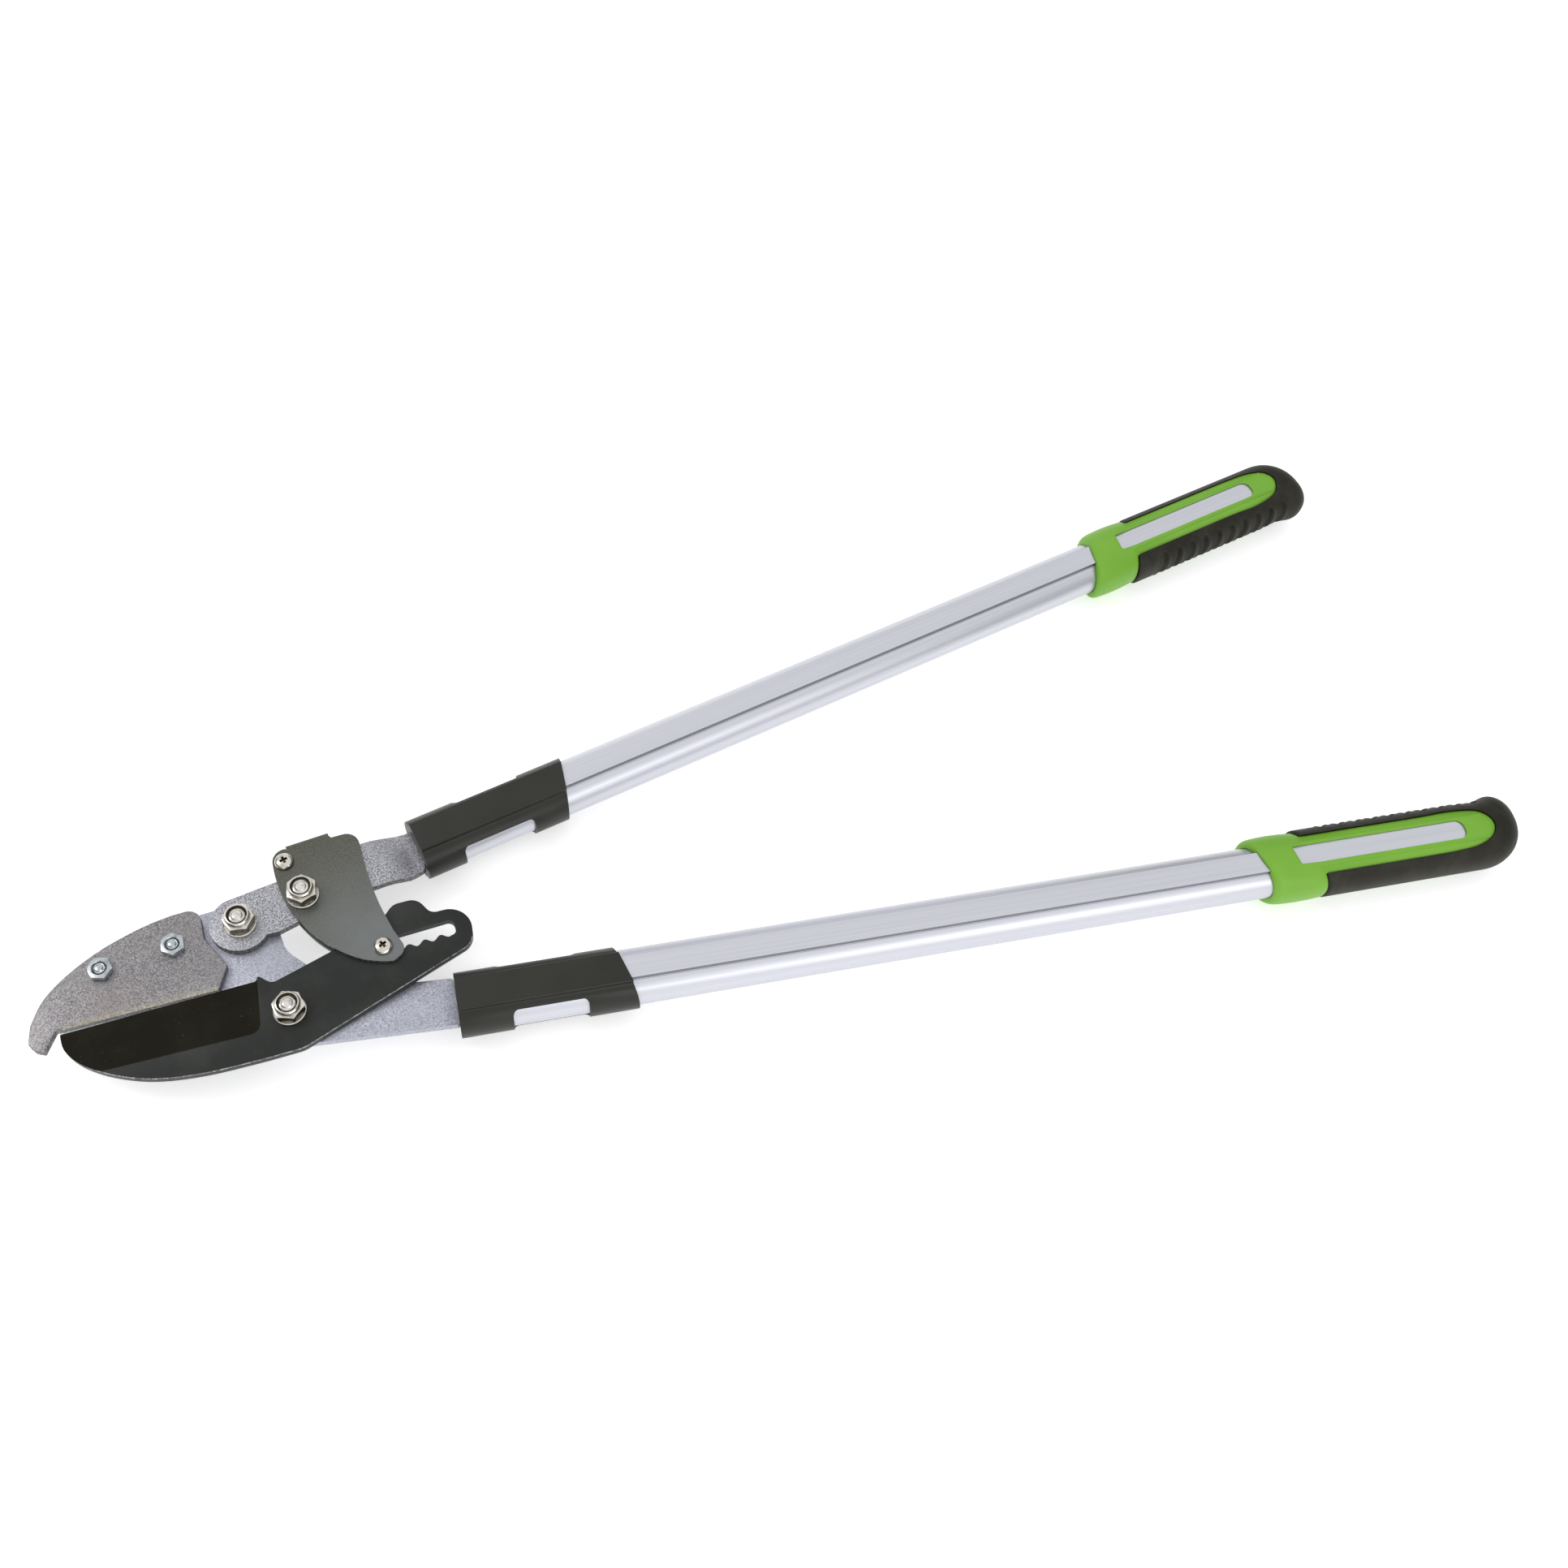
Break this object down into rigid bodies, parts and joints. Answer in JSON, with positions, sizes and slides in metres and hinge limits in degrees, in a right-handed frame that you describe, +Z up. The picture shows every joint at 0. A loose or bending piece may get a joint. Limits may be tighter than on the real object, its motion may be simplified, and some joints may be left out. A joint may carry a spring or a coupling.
{
  "type": "ratchet anvil loppers",
  "caption": "Long-handled ratchet loppers: a bevelled blade closes onto a flat anvil plate through a lever and link bracket, with oval tube handles and soft grips.",
  "frame": {"origin": "centre of the underside of the bounding box, with the loppers lying flat and the nut side up", "axes": "+X along the tool from the jaws to the grips, +Y across it towards the moving upper handle, +Z up, out of the nut side"},
  "size_m": [0.7428, 0.2786, 0.0354],
  "materials": {
    "zinc_plate": "zinc-plated pressed steel, satin with a fine mottle",
    "anvil_steel": "bare steel plate, speckled, slightly warm",
    "coated_blade": "dark low-friction coating, satin, bright ground line at the belly",
    "bracket_steel": "blued steel sheet, mottled",
    "bright_fastener": "bright nickel plate",
    "spring_steel": "drawn spring wire",
    "bush_bronze": "plain bearing bronze",
    "anodised_tube": "satin silver anodised extrusion",
    "black_sleeve": "glossy black moulding",
    "green_shell": "satin lime green moulding",
    "black_rubber": "matt soft rubber"
  },
  "bodies": {
    "frame": {"base_plate": "zinc_plate", "anvil_plate": "anvil_steel", "anvil_bolt_front": "bright_fastener", "anvil_bolt_rear": "bright_fastener", "anvil_nut_front": "bright_fastener", "anvil_nut_rear": "bright_fastener", "blade_pivot_bolt": "bright_fastener", "blade_pivot_bush": "bush_bronze", "blade_pivot_nut": "bright_fastener", "blade_pivot_washer": "bright_fastener", "lever_pivot_bolt": "bright_fastener", "lever_pivot_bush": "bush_bronze", "lever_pivot_nut": "bright_fastener", "lever_pivot_washer": "bright_fastener", "lower_tube": "anodised_tube", "lower_rivet_front": "bright_fastener", "lower_rivet_rear": "bright_fastener", "lower_sleeve": "black_sleeve", "lower_grip_shell": "green_shell", "lower_grip_rubber": "black_rubber"},
    "blade": {"blade": "coated_blade"},
    "lever": {"lever_arm": "zinc_plate", "link_pivot_bolt": "bright_fastener", "link_pivot_nut": "bright_fastener", "link_pivot_washer": "bright_fastener", "upper_tube": "anodised_tube", "upper_rivet_front": "bright_fastener", "upper_rivet_rear": "bright_fastener", "upper_sleeve": "black_sleeve", "upper_grip_shell": "green_shell", "upper_grip_rubber": "black_rubber"},
    "link": {"link_bracket": "bracket_steel", "link_pin": "bright_fastener", "link_pin_screw_front": "bright_fastener", "link_pin_screw_rear": "bright_fastener", "stop_pin": "bright_fastener", "stop_pin_screw_front": "bright_fastener", "stop_pin_screw_rear": "bright_fastener", "return_spring": "spring_steel"}
  },
  "joints": [
    {"name": "lever_hinge", "type": "hinge", "parent": "frame", "child": "lever", "pos_m": [-0.27248, 0.02705, 0.02131], "axis": [0, 0, 1], "range_deg": [0, 40]},
    {"name": "blade_hinge", "type": "hinge", "parent": "frame", "child": "blade", "pos_m": [-0.26068, -0.02305, 0.02131], "axis": [0, 0, 1], "range_deg": [0, 30]},
    {"name": "link_hinge", "type": "hinge", "parent": "lever", "child": "link", "pos_m": [-0.24178, 0.03155, 0.02131], "axis": [0, 0, 1], "range_deg": [-18.4, 0]}
  ],
  "couplings": [
    {"joint": "blade_hinge", "follows": "lever_hinge", "ratio": 0.75},
    {"joint": "link_hinge", "follows": "lever_hinge", "ratio": -0.46}
  ]
}
